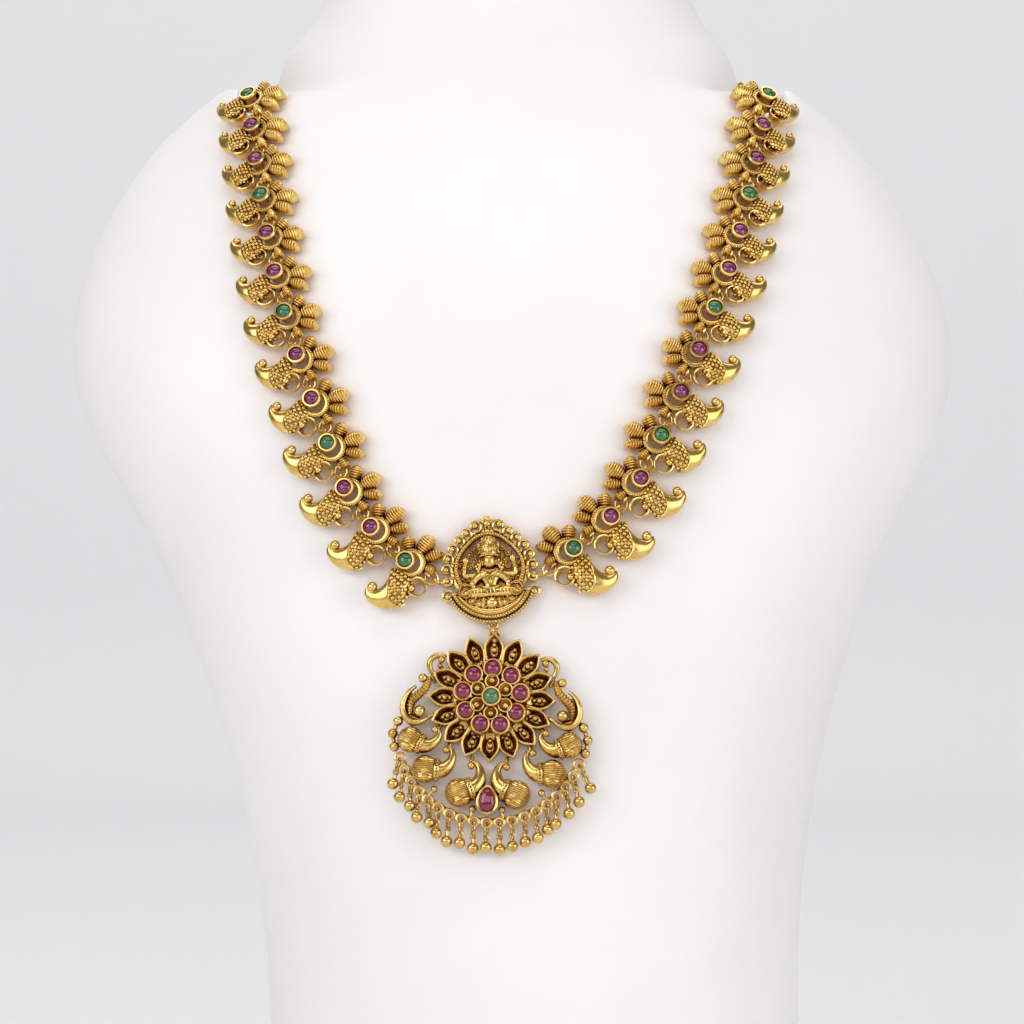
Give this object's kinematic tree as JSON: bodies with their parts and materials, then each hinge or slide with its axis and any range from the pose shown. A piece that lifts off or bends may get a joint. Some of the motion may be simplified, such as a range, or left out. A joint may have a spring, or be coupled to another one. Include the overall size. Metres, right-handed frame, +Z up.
{
  "type": "temple jewellery necklace",
  "caption": "Gold-toned temple necklace of claw-and-petal links with green and red stones, a seated-deity plaque and a flower pendant with ball drops, on a white neck bust.",
  "frame": {"origin": "middle of the whole part's footprint, on the surface that the bust stands on", "axes": "+Z up, the necklace faces -Y, +X to the viewer's right in the picture"},
  "size_m": [0.2199, 0.1507, 0.326],
  "materials": {
    "gold": "antique matte gilding, dark in the recesses",
    "ruby": "polished cabochon",
    "emerald": "polished cabochon",
    "bust": "smooth matt white"
  },
  "bodies": {
    "root": {"neck_bust": "bust", "link_left_01": "gold", "link_left_02": "gold", "link_left_03": "gold", "link_left_04": "gold", "link_left_05": "gold", "link_left_06": "gold", "link_left_07": "gold", "link_left_08": "gold", "link_left_09": "gold", "link_left_10": "gold", "link_left_11": "gold", "link_left_12": "gold", "link_left_13": "gold", "link_right_01": "gold", "link_right_02": "gold", "link_right_03": "gold", "link_right_04": "gold", "link_right_05": "gold", "link_right_06": "gold", "link_right_07": "gold", "link_right_08": "gold", "link_right_09": "gold", "link_right_10": "gold", "link_right_11": "gold", "link_right_12": "gold", "link_right_13": "gold", "rubies_left": "ruby", "rubies_right": "ruby", "emeralds_left": "emerald", "emeralds_right": "emerald", "joining_rings_left": "gold", "joining_rings_right": "gold", "deity_plaque": "gold", "back_chain_left": "gold", "back_chain_right": "gold", "clasp_ring": "gold"},
    "pendant": {"pendant_plate": "gold", "pendant_rubies": "ruby", "pendant_emerald": "emerald", "ruby_oval": "ruby", "ball_drops": "gold"}
  },
  "joints": [
    {"name": "pendant_swing", "type": "hinge", "parent": "root", "child": "pendant", "pos_m": [-0.00431, -0.06236, 0.13766], "axis": [-0.9983, 0.0464, 0.0342], "range_deg": [0, 75]}
  ]
}
